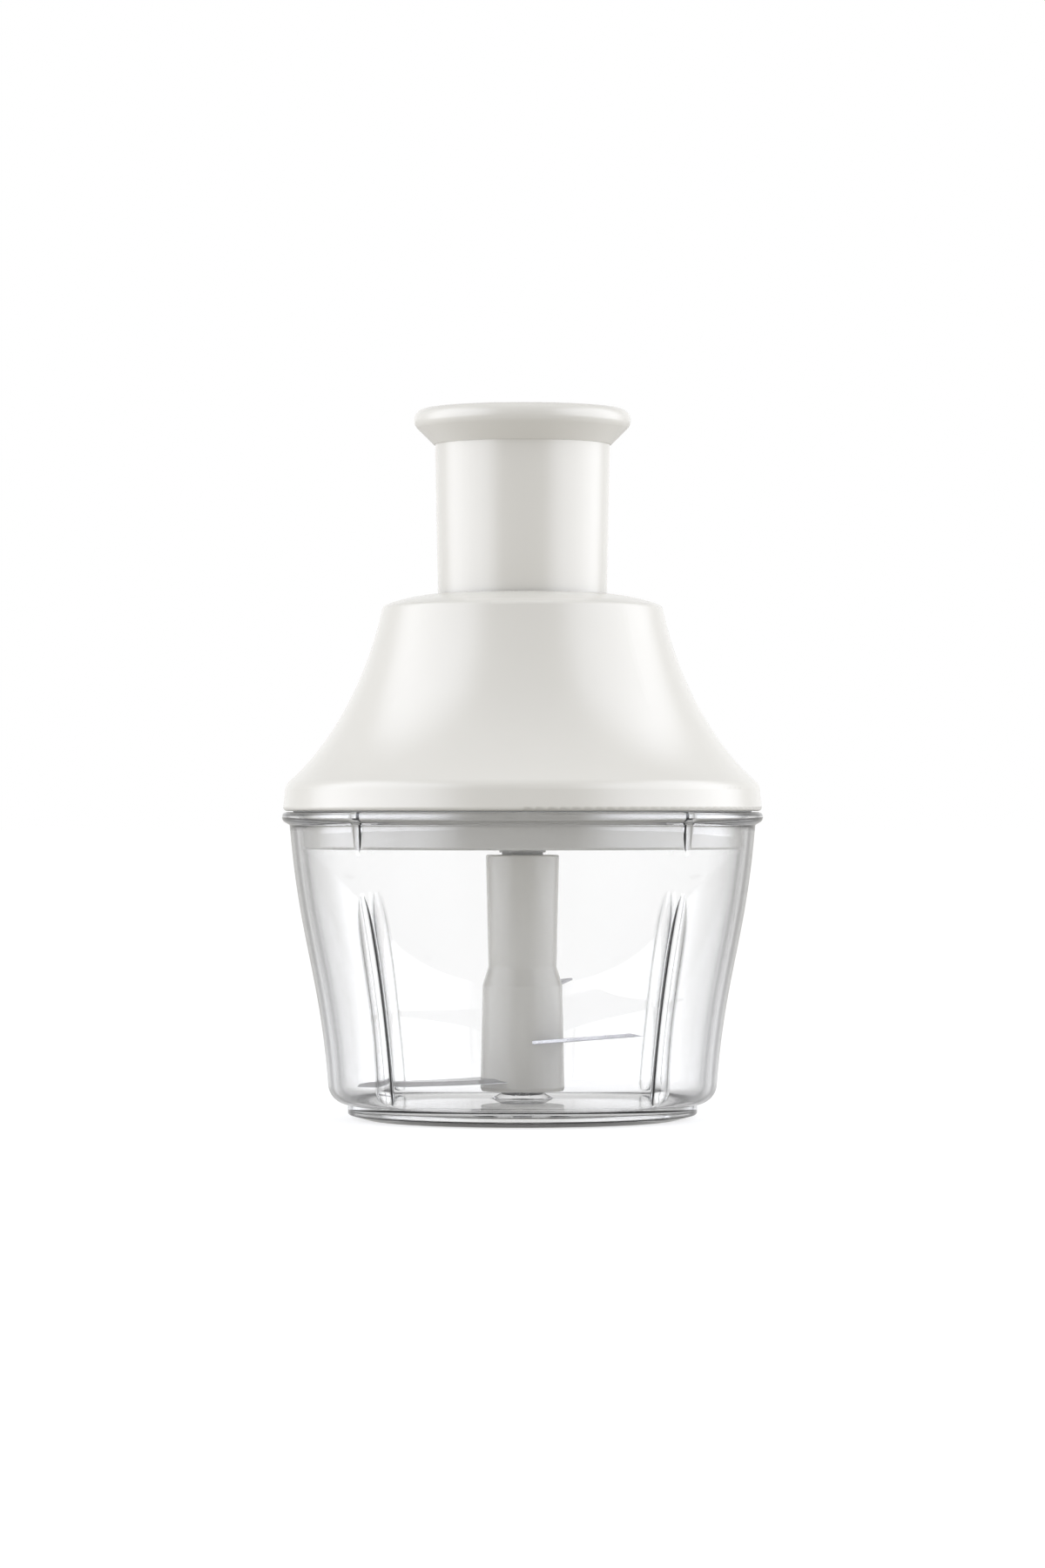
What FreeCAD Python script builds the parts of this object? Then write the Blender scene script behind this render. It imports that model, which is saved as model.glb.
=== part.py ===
import FreeCAD
import Part
import math
import os

# A plunger food chopper: a clear bowl with a bell-shaped lid, and a palm plunger that stands out of the lid.
# Pressing the plunger drives a nut down a twisted square screw. The screw turns, a pawl wheel on its foot
# turns a ratchet cup, and the cup's hexagonal spigot turns the blade shaft that stands on a pin in the bowl.
# A coil spring lifts the plunger again, while the pawls click over the ratchet and the blades run on.
#
# Millimetres. Z is up, X is to the right and the front is -Y. The origin is on the table, under the middle of
# the bowl's foot. Every part is drawn where it sits with the plunger up and the lid on.

V = FreeCAD.Vector
ORIGIN = V(0, 0, 0)
AXIS = V(0, 0, 1)

# ---------------------------------------------------------------------------------------------------------
# Driving dimensions
# ---------------------------------------------------------------------------------------------------------

STROKE = 36.0  # travel of the plunger
LEAD = 36.0  # travel of the nut for one turn of the screw
WALL = 2.2  # wall of the white mouldings
RUN_GAP = 0.3  # air between parts that move past each other
QUARTERS = [0, 90, 180, 270]
DIAGONALS = [45, 135, 225, 315]
THIRDS = [0, 120, 240]
BETWEEN_THIRDS = [60, 180, 300]

# Bowl
BOWL_WALL = 2.25
FOOT_RADIUS = 45.1
FOOT_BEVEL = 1.35
FOOT_FLAT = (37.4, 40.2)  # inner and outer radius of the flat that stands on the table
FOOT_HEIGHT = 2.5
BOWL_CORNER = 5.4  # outer radius between floor and wall
BOWL_INNER_CORNER = 4.2
WALL_FOOT = (50.25, 8.95)  # outer wall where the corner ends
WALL_HEAD = (60.07, 75.2)  # outer wall under the lip
WALL_FOOT_LEAN = 4.1  # degrees from upright
WALL_HEAD_LEAN = 4.7
WALL_FOOT_REACH = 28.25  # handles of the S-shaped wall line
WALL_HEAD_REACH = 29.4
LIP_RADIUS = 62.1
LIP_TOP = 79.2
LIP_UNDER = 77.0
LIP_ROOT = (60.15, 75.9)
KEY_RADIUS = 3.0  # the short half-round keys in the rim
KEY_CENTRE = 60.2
KEY_FOOT = 60.0
RIB_RADIUS = 4.0  # the long half-round ribs lower down
RIB_CREST = [(56.9, 62.0), (52.6, 48.0), (48.9, 30.0), (46.2, 3.0)]  # handles of the crest line
BOSS_FOOT_RADIUS = 8.2
BOSS_TOP_RADIUS = 5.4
BOSS_TOP = 7.3
PIN_RADIUS = 2.5
PIN_SEAT = 4.3
PIN_TOP = 24.0

# Blade unit
SHAFT_TOP = 68.3
SHAFT_TOP_RADIUS = 9.45
SHAFT_FOOT = 7.6
HUB_RADIUS = 10.9
HUB_TOP = 34.6
HUB_TOP_RADIUS = 10.3
NECK_RADIUS = 8.82
NECK_FOOT = 39.4
SOCKET_FLATS = 9.7
SOCKET_DEPTH = 14.0
SHAFT_CORE_RADIUS = 3.6
SHAFT_CORE_TOP = 50.0
BLADE_BUSH_RADIUS = 4.4
BLADE_BUSH_BORE = PIN_RADIUS + 0.06
BLADE_BUSH_TOP = 25.0
BLADE_BUSH_FLANGE = (6.0, 1.0)  # radius, thickness
BLADE_THICKNESS = 1.0
BLADE_BEVEL = 3.4
BLADE_EDGE = 0.12  # steel left at the cutting edge
BLADE_TANG = 6.4  # radius at which the tang ends inside the hub
BLADE_LEAD = [(9.0, 7.6), (27.0, 5.6), (42.4, -8.4)]  # cutting edge: root, middle, tip
BLADE_BACK = [(41.2, -9.9), (26.0, -5.9), (9.0, -7.0)]  # back edge: tip, middle, root
BLADE_BEND_RADIUS = 10.0  # where the blade leaves the hub and starts to climb
BLADES = {  # height at the hub, climb in degrees, direction round the hub in degrees
    "lower_blade": (10.3, -1.5, 205),
    "middle_blade": (20.4, 5.0, 325),
    "upper_blade": (29.8, 10.0, 85),
}

# Lid
RIM_BOTTOM = 79.5
RIM_BOTTOM_RADIUS = 61.9
RIM_SHOULDER = (61.22, 86.0)
RIM_INNER_RADIUS = 59.45
LEDGE_HEIGHT = 81.8
LEDGE_RADIUS = 58.2
FLARE_FOOT = (60.22, 87.2)
FLARE_FOOT_LEAN = 50.0  # degrees from upright
FLARE_FOOT_REACH = 9.5
FLARE_HEAD = (36.45, 130.9)
FLARE_HEAD_LEAN = 12.7
FLARE_HEAD_REACH = 23.2
SHOULDER = (36.12, 132.3)
DOME = [(33.7, 133.3), (28.5, 134.6), (23.05, 135.45)]  # edge, middle, opening
OPENING_LIP_FOOT = 132.4
GUIDE_BORE = 24.75
GUIDE_RADIUS = 27.2
GUIDE_FOOT = 85.2
KEYWAY_WIDTH = 4.2
KEYWAY_DEPTH = 1.15
KEYWAY_TOP = 128.6
WEB_THICKNESS = 1.6
WEB_FOOT = 106.0
CARRIER_BOSS_RING = 30.4
CARRIER_BOSS_RADIUS = 3.6
CARRIER_BOSS_TOP = 101.0
PLATE_BOSS_RING = 48.0
PLATE_BOSS_RADIUS = 3.8
PILOT_DEPTH = 11.0

# Lid plate, the underside of the lid
PLATE_BOTTOM = 69.8
PLATE_RADIUS = 57.3
PLATE_FLANGE_RADIUS = 59.2
PLATE_FLANGE = (80.3, 81.8)  # bottom, top
PLATE_HUB_RADIUS = 12.0
PLATE_HUB_TOP = 73.2
PLATE_POST_RADIUS = 4.8
PLATE_POST_TOP = 79.0
PLATE_RIB_TOP = 76.0
PLATE_RIB_SPAN = (19.0, 44.5)
PLATE_EDGE_ROUND = 0.7
NOTCH_RADIUS = KEY_RADIUS + RUN_GAP
GASKET = (57.45, 59.2, LIP_TOP, 80.3)  # inner radius, outer radius, bottom, top

# Ratchet drive
SPINDLE_BUSH_RADIUS = 8.6
SPINDLE_BUSH_FLANGE = (10.6, 73.2, 73.6)  # radius, bottom, top
JOURNAL_RADIUS = 6.0
JOURNAL_BORE = JOURNAL_RADIUS + 0.06
JOURNAL_BOTTOM = 68.9
SPIGOT_FLATS = 9.2
SPIGOT_BOTTOM = 55.0
WASHER = (6.15, 10.4, 73.7, 74.1)  # inner radius, outer radius, bottom, top
CUP_RADIUS = 17.2
CUP_BOTTOM = 74.1
CUP_FLOOR = 75.8
CUP_TOP = 81.0
TOOTH_COUNT = 18
TOOTH_TIP = 13.5
TOOTH_ROOT = 15.2
PAWL_GAP = 0.25
PAWL_WHEEL = (76.2, 80.4)  # bottom, top
PAWL_HUB_RADIUS = 7.4
PAWL_ARM_RADIUS = 10.9  # middle line of each springy arm
PAWL_ARM_WIDTH = 1.5
PAWL_ARM_SWEEP = 88.0
PILOT_RADIUS = 2.5
PILOT_BORE = PILOT_RADIUS + 0.06
PILOT_BOTTOM = 70.6
PILOT_BORE_BOTTOM = 70.1

# Drive screw and its bearing
SHANK_FLATS = 9.0
SHANK_BOTTOM = 76.2
COLLAR = (9.4, 80.4, 81.6)  # radius, bottom, top
SCREW_JOURNAL_RADIUS = 6.5
SCREW_JOURNAL_TOP = 86.2
SCREW_SIDE = 8.9  # side of the twisted square bar
SCREW_TOP = 134.2
SCREW_SECTION_STEP = 1.8
CARRIER = (82.8, 85.2)  # bottom, top
CARRIER_RADIUS = 27.2
CARRIER_EAR_RADIUS = 4.2
SPRING_RING = (15.3, 16.9, 87.0)  # inner radius, outer radius, top
SCREW_BUSH_RADIUS = 8.0
SCREW_BUSH_BORE = SCREW_JOURNAL_RADIUS + 0.06
SCREW_BUSH_TOP = 85.9
SCREW_BUSH_FLANGE = (9.6, 82.0)  # radius, bottom

# Plunger
PLUNGER_FOOT = 122.4
PLUNGER_FLANGE_RADIUS = GUIDE_BORE - RUN_GAP
PLUNGER_FLANGE_TOP = 127.6
PLUNGER_KEY_WIDTH = 3.6
PLUNGER_KEY_RADIUS = 25.5
TUBE_FOOT_RADIUS = 21.7
TUBE_HEAD = (22.62, 174.1)
TUBE_WALL = 2.1
TUBE_TENON = (21.6, 179.2)  # outer radius, top: the part of the tube inside the cap
CAP_SKIRT_RADIUS = 22.95
CAP_RADIUS = 28.05
CAP_ROUND = 2.92
CAP_MIDDLE = 180.36
CAP_UNDERCUT = -43.8  # degrees round the rim where the skirt's cone meets it
CAP_TOP = 183.37
CAP_CEILING = 181.0
STEM_RADIUS = 9.2
STEM_BORE = 7.4
STEM_FLANGE = (20.0, 176.4, 178.6)  # radius, bottom, top
STEM_COLLAR = (12.7, 172.4)  # radius, bottom: centres the spring
STEM_SCREW_RING = 17.4
NUT_FLATS = 17.0
NUT = (123.4, 131.4)  # bottom, top
NUT_CLEARANCE = 0.32  # between the screw's faces and the nut's
NUT_CUP_RADIUS = 11.9
RETAINER_BORE = 7.4
RETAINER_SCREW_RING = 10.3

# Return spring
SPRING_RADIUS = 14.0
SPRING_WIRE = 1.5
SPRING_TURNS = 8
SPRING_END_TURNS = 0.75
SPRING_END_PITCH = 1.6
SPRING_STEPS = 20  # straight runs in one turn

# Fasteners: shank radius, length, head radius, head height
PLATE_SCREW = (1.45, 14.0, 2.8, 1.9)
CARRIER_SCREW = (1.25, 11.0, 2.4, 1.7)
STEM_SCREW = (1.1, 4.4, 2.1, 1.4)
RETAINER_SCREW = (0.6, 3.4, 1.15, 0.5)
SCREW_SLOT = 0.32  # width of the cross recess as a share of the head radius


# ---------------------------------------------------------------------------------------------------------
# Drawing tools
# ---------------------------------------------------------------------------------------------------------


def lean(degrees, length):
    """The step of that length in a direction that leans outwards from upright."""
    angle = math.radians(degrees)
    return V(length * math.sin(angle), 0, length * math.cos(angle))


def polar(radius, degrees, z=0.0):
    angle = math.radians(degrees)
    return V(radius * math.cos(angle), radius * math.sin(angle), z)


class Outline:
    """A closed profile in the XZ plane, with X as the radius. Corners between straight runs may be rounded."""

    def __init__(self, r, z):
        self.start = V(r, 0, z)
        self.runs = []

    def to(self, r, z, corner=0.0):
        self.runs.append(("line", [V(r, 0, z)], corner))
        return self

    def arc(self, middle, end):
        self.runs.append(("arc", [V(middle[0], 0, middle[1]), V(end[0], 0, end[1])], 0.0))
        return self

    def bezier(self, *poles):
        self.runs.append(("bezier", list(poles), 0.0))
        return self

    def wire(self):
        runs = self.runs + [("line", [self.start], 0.0)]
        edges = []
        here = self.start
        for index, (kind, points, corner) in enumerate(runs):
            end = points[-1]
            rounding = None
            if corner:
                onward = runs[index + 1][1][0] - end
                rounding = self.rounded(end - here, onward, end, corner)
                end = rounding[0]
            if kind == "line" and (end - here).Length > 1e-6:
                edges.append(Part.LineSegment(here, end).toShape())
            elif kind == "arc":
                edges.append(Part.Arc(here, points[0], end).toShape())
            elif kind == "bezier":
                curve = Part.BezierCurve()
                curve.setPoles([here] + points)
                edges.append(curve.toShape())
            if rounding:
                edges.append(Part.Arc(*rounding).toShape())
                end = rounding[2]
            here = end
        return Part.Wire(edges)

    @staticmethod
    def rounded(incoming, outgoing, corner, radius):
        """Start, middle and end of the arc that rounds the corner between two straight runs."""
        before = V(incoming).normalize()
        after = V(outgoing).normalize()
        half_turn = before.getAngle(after) / 2
        setback = radius * math.tan(half_turn)
        inward = (after - before).normalize()
        middle = corner + inward * (radius / math.cos(half_turn) - radius)
        return corner - before * setback, middle, corner + after * setback

    def lathe(self):
        return upright(Part.Face(self.wire()).revolve(ORIGIN, AXIS, 360))


def upright(shape):
    """The solid of a shape, turned the right way out."""
    solid = shape.Solids[0] if shape.Solids else Part.Solid(shape.Shells[0])
    if solid.Volume < 0:
        solid.reverse()
    return solid


def cylinder(radius, bottom, top, x=0.0, y=0.0):
    return Part.makeCylinder(radius, top - bottom, V(x, y, bottom))


def ring(inner, outer, bottom, top):
    return cylinder(outer, bottom, top).cut(cylinder(inner, bottom, top))


def hexagon(flats, bottom, top):
    """A hexagonal prism with two of its flats facing front and back."""
    corner = flats / math.sqrt(3)
    points = [polar(corner, 60 * n, bottom) for n in range(7)]
    return Part.Face(Part.makePolygon(points)).extrude(V(0, 0, top - bottom))


def block(inner, outer, width, bottom, top):
    """A radial block along +X, centred on the XZ plane."""
    return Part.makeBox(outer - inner, width, top - bottom, V(inner, -width / 2, bottom))


def turned(shape, degrees):
    copy = shape.copy()
    copy.rotate(ORIGIN, AXIS, degrees)
    return copy


def around(shape, directions):
    return [turned(shape, degrees) for degrees in directions]


def twisted_bar(side, bottom, top):
    """A square bar twisted to the right, one turn in each LEAD of height."""
    count = math.ceil((top - bottom) / SCREW_SECTION_STEP)
    sections = []
    for n in range(count + 1):
        z = bottom + (top - bottom) * n / count
        corners = [polar(side / math.sqrt(2), 45 + 90 * k + 360 * z / LEAD, z) for k in range(5)]
        sections.append(Part.makePolygon(corners))
    return upright(Part.makeLoft(sections, True, False))


def screw(size, ring_radius, seat):
    """A cross-head screw at +X that points up, with its head under the seat."""
    shank_radius, length, head_radius, head_height = size
    bottom = seat - head_height
    body = cylinder(head_radius, bottom, seat, ring_radius).fuse(
        cylinder(shank_radius, seat - 0.01, seat + length, ring_radius)
    )
    slot_width = SCREW_SLOT * head_radius
    slot_length = 1.3 * head_radius
    for across, along in ((slot_width, slot_length), (slot_length, slot_width)):
        corner = V(ring_radius - across / 2, -along / 2, bottom)
        body = body.cut(Part.makeBox(across, along, head_height / 2, corner))
    return body


# ---------------------------------------------------------------------------------------------------------
# Bowl
# ---------------------------------------------------------------------------------------------------------


def bowl_corner(foot, radius):
    """Centre of the corner's arc, and the point half way along it, where the arc ends on the wall's foot."""
    step = lean(WALL_FOOT_LEAN, radius)
    centre = V(foot.x - step.z, 0, foot.z + step.x)
    return centre, centre + V(1, 0, -1).normalize() * radius


def bowl_wall_line(inset):
    """Foot, two handles and head of the wall's S-shaped line, moved inwards by the inset."""
    foot = V(WALL_FOOT[0] - inset, 0, WALL_FOOT[1])
    head = V(WALL_HEAD[0] - inset, 0, WALL_HEAD[1])
    return foot, foot + lean(WALL_FOOT_LEAN, WALL_FOOT_REACH), head - lean(WALL_HEAD_LEAN, WALL_HEAD_REACH), head


def bowl_outside(outline):
    """Draws the foot ring, the corner, the wall and the lip, from the foot's inner edge to the lip's top."""
    centre, middle = bowl_corner(V(WALL_FOOT[0], 0, WALL_FOOT[1]), BOWL_CORNER)
    drop = math.sqrt(BOWL_CORNER**2 - (FOOT_RADIUS - centre.x) ** 2)
    outline.to(FOOT_FLAT[1], 0, 6).to(FOOT_RADIUS, FOOT_BEVEL, 1.5).to(FOOT_RADIUS, centre.z - drop)
    outline.arc((middle.x, middle.z), WALL_FOOT)
    outline.bezier(*bowl_wall_line(0)[1:])
    outline.to(*LIP_ROOT, 0.4).to(LIP_RADIUS, LIP_UNDER, 1.5)
    return outline.to(LIP_RADIUS, LIP_TOP, 1.0)


def bowl_envelope():
    """The bowl as if it were solid, to trim the ribs with."""
    return bowl_outside(Outline(0, 0)).to(0, LIP_TOP).lathe()


def bowl():
    foot, lower, upper, head = bowl_wall_line(BOWL_WALL)
    centre, middle = bowl_corner(foot, BOWL_INNER_CORNER)
    floor = centre.z - BOWL_INNER_CORNER
    foot_inside = FOOT_FLAT[0]

    outline = bowl_outside(Outline(0, FOOT_HEIGHT).to(foot_inside, FOOT_HEIGHT, 0.3).to(foot_inside, 0, 0.6))
    outline.to(head.x, LIP_TOP, 0.6).to(head.x, head.z)
    outline.bezier(upper, lower, foot)
    outline.arc((middle.x, middle.z), (centre.x, floor))
    outline.to(BOSS_FOOT_RADIUS, floor, 1.2).to(BOSS_TOP_RADIUS, BOSS_TOP, 0.5)
    outline.to(PIN_RADIUS, BOSS_TOP).to(PIN_RADIUS, PIN_SEAT).to(0, PIN_SEAT)
    body = outline.lathe()

    inserts = around(bowl_key(), DIAGONALS) + around(bowl_rib(), DIAGONALS)
    envelope = bowl_envelope()
    return upright(body.fuse([insert.common(envelope) for insert in inserts]))


def bowl_key():
    """A short upright half-round in the rim, which fades into the tapering wall. It stops the lid from turning."""
    return cylinder(KEY_RADIUS, KEY_FOOT, LIP_TOP, KEY_CENTRE)


def bowl_rib():
    """A long half-round rib that throws the food back to the blades. It rises out of the wall to a point."""
    path = Part.BezierCurve()
    path.setPoles([V(r + RIB_RADIUS, 0, z) for r, z in RIB_CREST])
    spine = Part.Wire(path.toShape())
    start = path.value(0)
    section = Part.Wire(Part.makeCircle(RIB_RADIUS, start, path.tangent(0)[0]))
    return upright(spine.makePipeShell([section], True, True))


def pivot_pin():
    return Outline(0, PIN_SEAT).to(PIN_RADIUS, PIN_SEAT, 0.3).to(PIN_RADIUS, PIN_TOP, 1.0).to(0, PIN_TOP).lathe()


# ---------------------------------------------------------------------------------------------------------
# Blade unit
# ---------------------------------------------------------------------------------------------------------


def blade(name):
    """A sickle of sheet steel, ground on top along its leading edge, with its tang inside the hub."""
    height, climb, direction = BLADES[name]
    half = BLADE_THICKNESS / 2
    lead = [V(x, y, -half) for x, y in BLADE_LEAD]
    back = [V(x, y, -half) for x, y in BLADE_BACK]
    tang_lead = V(BLADE_TANG, lead[0].y, -half)
    tang_back = V(BLADE_TANG, back[-1].y, -half)
    cutting_edge = Part.Arc(*lead)
    edges = [
        Part.LineSegment(tang_lead, lead[0]),
        cutting_edge,
        Part.LineSegment(lead[-1], back[0]),
        Part.Arc(*back),
        Part.LineSegment(back[-1], tang_back),
        Part.LineSegment(tang_back, tang_lead),
    ]
    sheet = Part.Face(Part.Wire([edge.toShape() for edge in edges])).extrude(V(0, 0, BLADE_THICKNESS))
    circle = cutting_edge.toShape().Curve
    sheet = sheet.cut(blade_grind(circle.Center, circle.Radius, half))
    sheet.rotate(V(BLADE_BEND_RADIUS, 0, 0), V(0, 1, 0), -climb)
    sheet.translate(V(0, 0, height))
    return turned(upright(sheet), direction)


def blade_grind(centre, radius, half):
    """The wedge that the grinding takes off, as a ring about the centre of the cutting edge's arc."""
    overshoot = 2.0
    slope = (BLADE_THICKNESS - BLADE_EDGE) / BLADE_BEVEL
    inner, outer = radius - BLADE_BEVEL, radius + overshoot
    above = half + 1.0
    points = [
        V(inner, 0, half),
        V(outer, 0, half - slope * (outer - inner)),
        V(outer, 0, above),
        V(inner, 0, above),
        V(inner, 0, half),
    ]
    wedge = Part.Face(Part.makePolygon(points)).revolve(ORIGIN, AXIS, 360)
    wedge.translate(V(centre.x, centre.y, 0))
    return upright(wedge)


def blade_shaft(blades):
    outline = Outline(0, SHAFT_FOOT).to(HUB_RADIUS, SHAFT_FOOT, 0.9).to(HUB_TOP_RADIUS, HUB_TOP, 1.6)
    outline.to(NECK_RADIUS, NECK_FOOT, 3.0).to(SHAFT_TOP_RADIUS, SHAFT_TOP, 0.4).to(0, SHAFT_TOP)
    body = outline.lathe()
    flange_radius, flange_thickness = BLADE_BUSH_FLANGE
    body = body.cut(cylinder(flange_radius, SHAFT_FOOT, SHAFT_FOOT + flange_thickness))
    body = body.cut(cylinder(BLADE_BUSH_RADIUS, SHAFT_FOOT, BLADE_BUSH_TOP))
    body = body.cut(cylinder(SHAFT_CORE_RADIUS, BLADE_BUSH_TOP - 0.01, SHAFT_CORE_TOP))
    body = body.cut(hexagon(SOCKET_FLATS, SHAFT_TOP - SOCKET_DEPTH, SHAFT_TOP))
    for sheet in blades:
        body = body.cut(sheet)
    return upright(body)


def blade_bush():
    flange_radius, flange_thickness = BLADE_BUSH_FLANGE
    outline = Outline(BLADE_BUSH_BORE, SHAFT_FOOT).to(flange_radius, SHAFT_FOOT)
    outline.to(flange_radius, SHAFT_FOOT + flange_thickness).to(BLADE_BUSH_RADIUS, SHAFT_FOOT + flange_thickness)
    return outline.to(BLADE_BUSH_RADIUS, BLADE_BUSH_TOP).to(BLADE_BUSH_BORE, BLADE_BUSH_TOP).lathe()


# ---------------------------------------------------------------------------------------------------------
# Lid
# ---------------------------------------------------------------------------------------------------------


def flare_line(inset):
    """Foot, two handles and head of the bell's hollow flank, moved inwards by the inset."""
    foot_normal = lean(FLARE_FOOT_LEAN, inset)
    head_normal = lean(FLARE_HEAD_LEAN, inset)
    foot = V(FLARE_FOOT[0] - foot_normal.z, 0, FLARE_FOOT[1] - foot_normal.x)
    head = V(FLARE_HEAD[0] - head_normal.z, 0, FLARE_HEAD[1] - head_normal.x)
    up_from_foot = lean(-FLARE_FOOT_LEAN, FLARE_FOOT_REACH)
    down_from_head = lean(-FLARE_HEAD_LEAN, FLARE_HEAD_REACH)
    return foot, foot + up_from_foot, head - down_from_head, head


def lid_outside(outline):
    """Draws the rim, the hollow flank, the shoulder and the dome, up to the plunger's opening."""
    outline.to(RIM_BOTTOM_RADIUS, RIM_BOTTOM, 1.0).to(*RIM_SHOULDER, 3.6).to(*FLARE_FOOT)
    outline.bezier(*flare_line(0)[1:])
    outline.to(*SHOULDER, 1.4).to(*DOME[0])
    return outline.arc(DOME[1], DOME[2])


def lid_envelope():
    return lid_outside(Outline(0, RIM_BOTTOM)).to(0, DOME[2][1]).lathe()


def lid_shell():
    opening = DOME[2][0]
    foot, lower, upper, head = flare_line(WALL)
    outline = lid_outside(Outline(RIM_INNER_RADIUS, RIM_BOTTOM))
    outline.to(opening, OPENING_LIP_FOOT).to(GUIDE_BORE, OPENING_LIP_FOOT).to(GUIDE_BORE, GUIDE_FOOT)
    outline.to(GUIDE_RADIUS, GUIDE_FOOT).to(GUIDE_RADIUS, DOME[1][1] - WALL, 1.0)
    outline.to(DOME[0][0] - WALL / 2, DOME[0][1] - WALL, 0.8).to(head.x, head.z)
    outline.bezier(upper, lower, foot)
    outline.to(LEDGE_RADIUS, foot.z - 1.0).to(LEDGE_RADIUS, LEDGE_HEIGHT).to(RIM_INNER_RADIUS, LEDGE_HEIGHT)
    body = outline.lathe()

    webs = around(block(GUIDE_BORE + 1, RIM_INNER_RADIUS, WEB_THICKNESS, WEB_FOOT, SHOULDER[1]), DIAGONALS)
    plate_boss = cylinder(PLATE_BOSS_RADIUS, PLATE_POST_TOP, SHOULDER[1], PLATE_BOSS_RING)
    carrier_boss = cylinder(CARRIER_BOSS_RADIUS, GUIDE_FOOT, CARRIER_BOSS_TOP, CARRIER_BOSS_RING)
    bore = cylinder(GUIDE_BORE, GUIDE_FOOT - 1, SHOULDER[1])
    inside = [web.cut(bore) for web in webs] + around(plate_boss, QUARTERS)
    inside += [boss.cut(bore) for boss in around(carrier_boss, BETWEEN_THIRDS)]
    envelope = lid_envelope()
    body = body.fuse([piece.common(envelope) for piece in inside])

    keyway = block(GUIDE_BORE - 1, GUIDE_BORE + KEYWAY_DEPTH, KEYWAY_WIDTH, GUIDE_FOOT, KEYWAY_TOP)
    body = body.cut(around(keyway, THIRDS))
    plate_pilot = cylinder(PLATE_SCREW[0], PLATE_POST_TOP, PLATE_POST_TOP + PILOT_DEPTH, PLATE_BOSS_RING)
    carrier_pilot = cylinder(CARRIER_SCREW[0], GUIDE_FOOT, GUIDE_FOOT + PILOT_DEPTH, CARRIER_BOSS_RING)
    return upright(body.cut(around(plate_pilot, QUARTERS) + around(carrier_pilot, BETWEEN_THIRDS)))


def plate_screw_seat():
    return PLATE_BOTTOM + PLATE_SCREW[3] + 0.3


def lid_plate():
    """The white underside: a dish with a drop ring that fits inside the bowl, notched for the bowl's keys."""
    floor_top = PLATE_BOTTOM + WALL
    flange_bottom, flange_top = PLATE_FLANGE
    inside = PLATE_RADIUS - WALL
    outline = Outline(SPINDLE_BUSH_RADIUS, PLATE_BOTTOM).to(PLATE_RADIUS, PLATE_BOTTOM, PLATE_EDGE_ROUND)
    outline.to(PLATE_RADIUS, flange_bottom).to(PLATE_FLANGE_RADIUS, flange_bottom)
    outline.to(PLATE_FLANGE_RADIUS, flange_top).to(inside, flange_top).to(inside, floor_top, 1.0)
    outline.to(PLATE_HUB_RADIUS, floor_top).to(PLATE_HUB_RADIUS, PLATE_HUB_TOP)
    body = outline.to(SPINDLE_BUSH_RADIUS, PLATE_HUB_TOP).lathe()

    post = cylinder(PLATE_POST_RADIUS, floor_top - 0.5, PLATE_POST_TOP, PLATE_BOSS_RING)
    rib = block(*PLATE_RIB_SPAN, WEB_THICKNESS, floor_top - 0.5, PLATE_RIB_TOP)
    body = body.fuse(around(post, QUARTERS) + around(rib, QUARTERS))

    shank_radius, _, head_radius, _ = PLATE_SCREW
    seat = plate_screw_seat()
    hole = cylinder(shank_radius + 0.2, PLATE_BOTTOM, PLATE_POST_TOP, PLATE_BOSS_RING)
    hole = hole.fuse(cylinder(head_radius + 0.4, PLATE_BOTTOM, seat, PLATE_BOSS_RING))
    notch = cylinder(NOTCH_RADIUS, PLATE_BOTTOM, flange_bottom, KEY_CENTRE)
    return upright(body.cut(around(hole, QUARTERS) + around(notch, DIAGONALS)))


def plate_screws():
    return Part.makeCompound(around(screw(PLATE_SCREW, PLATE_BOSS_RING, plate_screw_seat()), QUARTERS))


def lid_gasket():
    return ring(*GASKET)


def bearing_carrier():
    """Closes the foot of the plunger's guide, seats the return spring and holds the drive screw's bush."""
    bottom, top = CARRIER
    inner, outer, ring_top = SPRING_RING
    ear = cylinder(CARRIER_EAR_RADIUS, bottom, top, CARRIER_BOSS_RING)
    body = cylinder(CARRIER_RADIUS, bottom, top).fuse(around(ear, BETWEEN_THIRDS))
    body = body.fuse(ring(inner, outer, top - 0.2, ring_top))
    hole = cylinder(CARRIER_SCREW[0] + 0.2, bottom, top, CARRIER_BOSS_RING)
    return upright(body.cut([cylinder(SCREW_BUSH_RADIUS, bottom, ring_top)] + around(hole, BETWEEN_THIRDS)))


def carrier_screws():
    return Part.makeCompound(around(screw(CARRIER_SCREW, CARRIER_BOSS_RING, CARRIER[0]), BETWEEN_THIRDS))


def screw_bush():
    flange_radius, flange_bottom = SCREW_BUSH_FLANGE
    outline = Outline(SCREW_BUSH_BORE, flange_bottom).to(flange_radius, flange_bottom)
    outline.to(flange_radius, CARRIER[0]).to(SCREW_BUSH_RADIUS, CARRIER[0]).to(SCREW_BUSH_RADIUS, SCREW_BUSH_TOP)
    return outline.to(SCREW_BUSH_BORE, SCREW_BUSH_TOP).lathe()


def spindle_bush():
    flange_radius, flange_bottom, flange_top = SPINDLE_BUSH_FLANGE
    outline = Outline(JOURNAL_BORE, PLATE_BOTTOM).to(SPINDLE_BUSH_RADIUS, PLATE_BOTTOM)
    outline.to(SPINDLE_BUSH_RADIUS, flange_bottom).to(flange_radius, flange_bottom)
    return outline.to(flange_radius, flange_top).to(JOURNAL_BORE, flange_top).lathe()


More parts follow.
